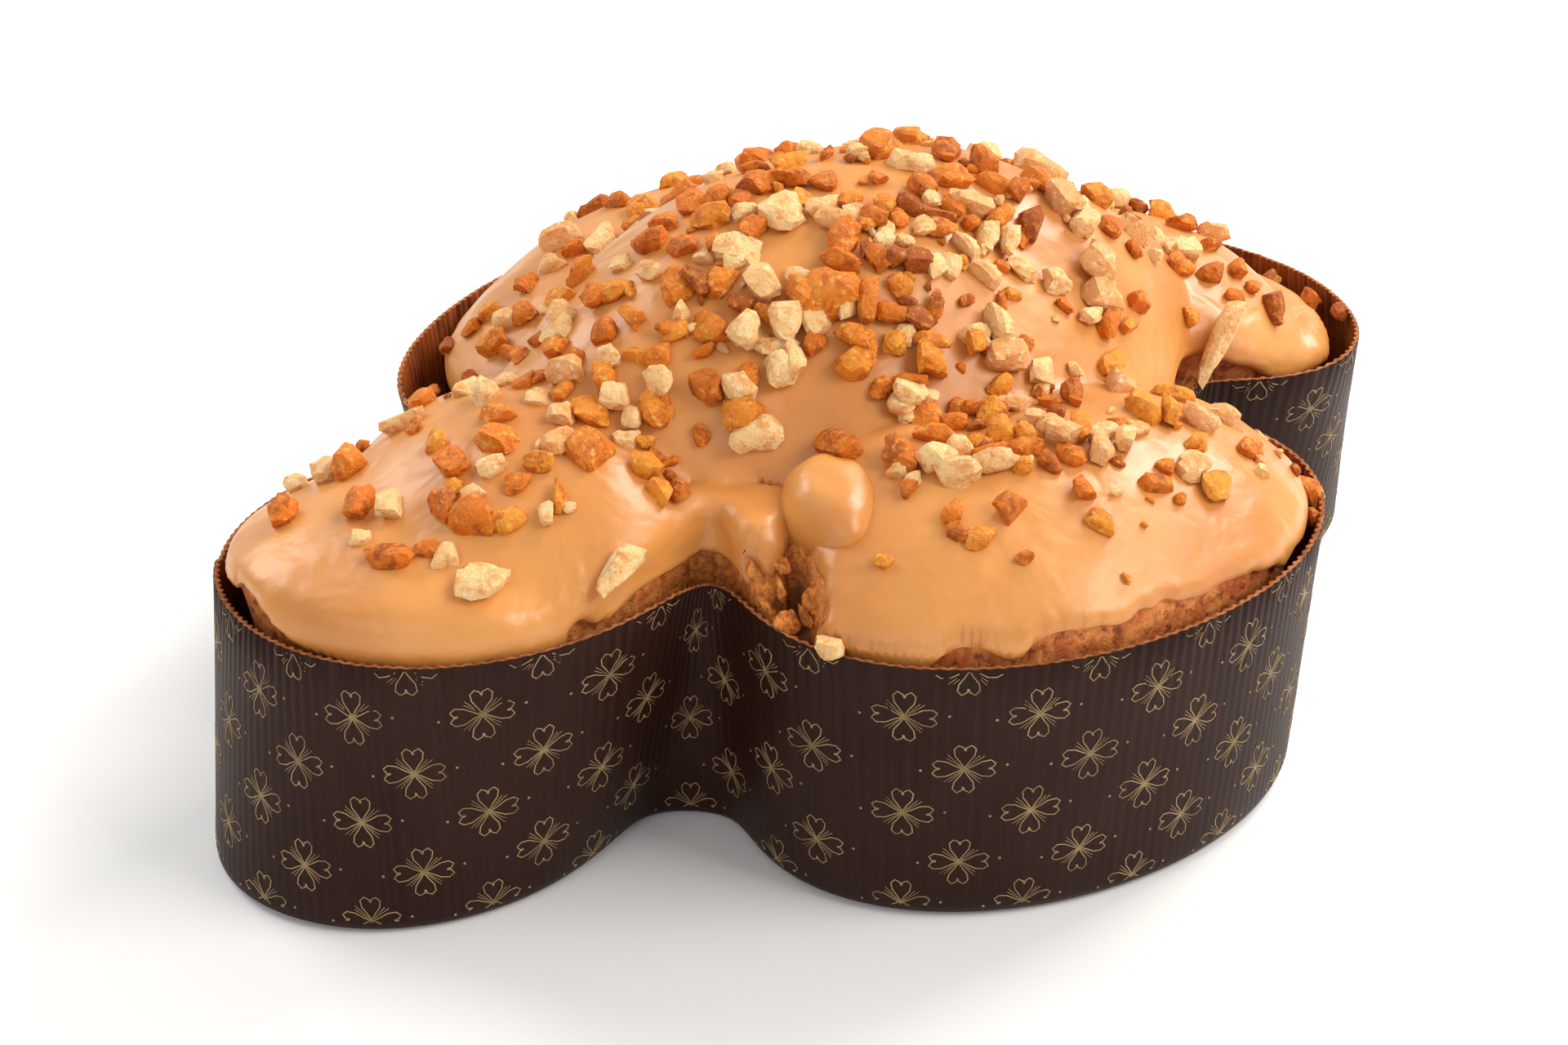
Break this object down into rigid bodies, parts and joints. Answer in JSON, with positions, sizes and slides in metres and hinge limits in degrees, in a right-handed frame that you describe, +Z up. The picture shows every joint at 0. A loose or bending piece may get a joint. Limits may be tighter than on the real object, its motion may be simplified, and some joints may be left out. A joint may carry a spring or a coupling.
{
  "type": "colomba cake",
  "caption": "Dove-shaped festive cake in its printed paper baking case, with a smooth caramel glaze strewn with chopped nuts.",
  "frame": {"origin": "centre of the case's box at the level it stands on", "axes": "+Z up; +X towards the dove's tail, -X towards its head, so X is the longest side; -Y towards the near wing"},
  "size_m": [0.2996, 0.224, 0.1167],
  "materials": {
    "printed_paper": "dark brown corrugated paper with a satin face and thin matte gold ornament",
    "baked_crust": "matt browned crust",
    "caramel_glaze": "satin caramel glaze with chopped nuts"
  },
  "bodies": {
    "root": {"paper_case": "printed_paper", "cake": "baked_crust", "glaze": "caramel_glaze"}
  },
  "joints": []
}
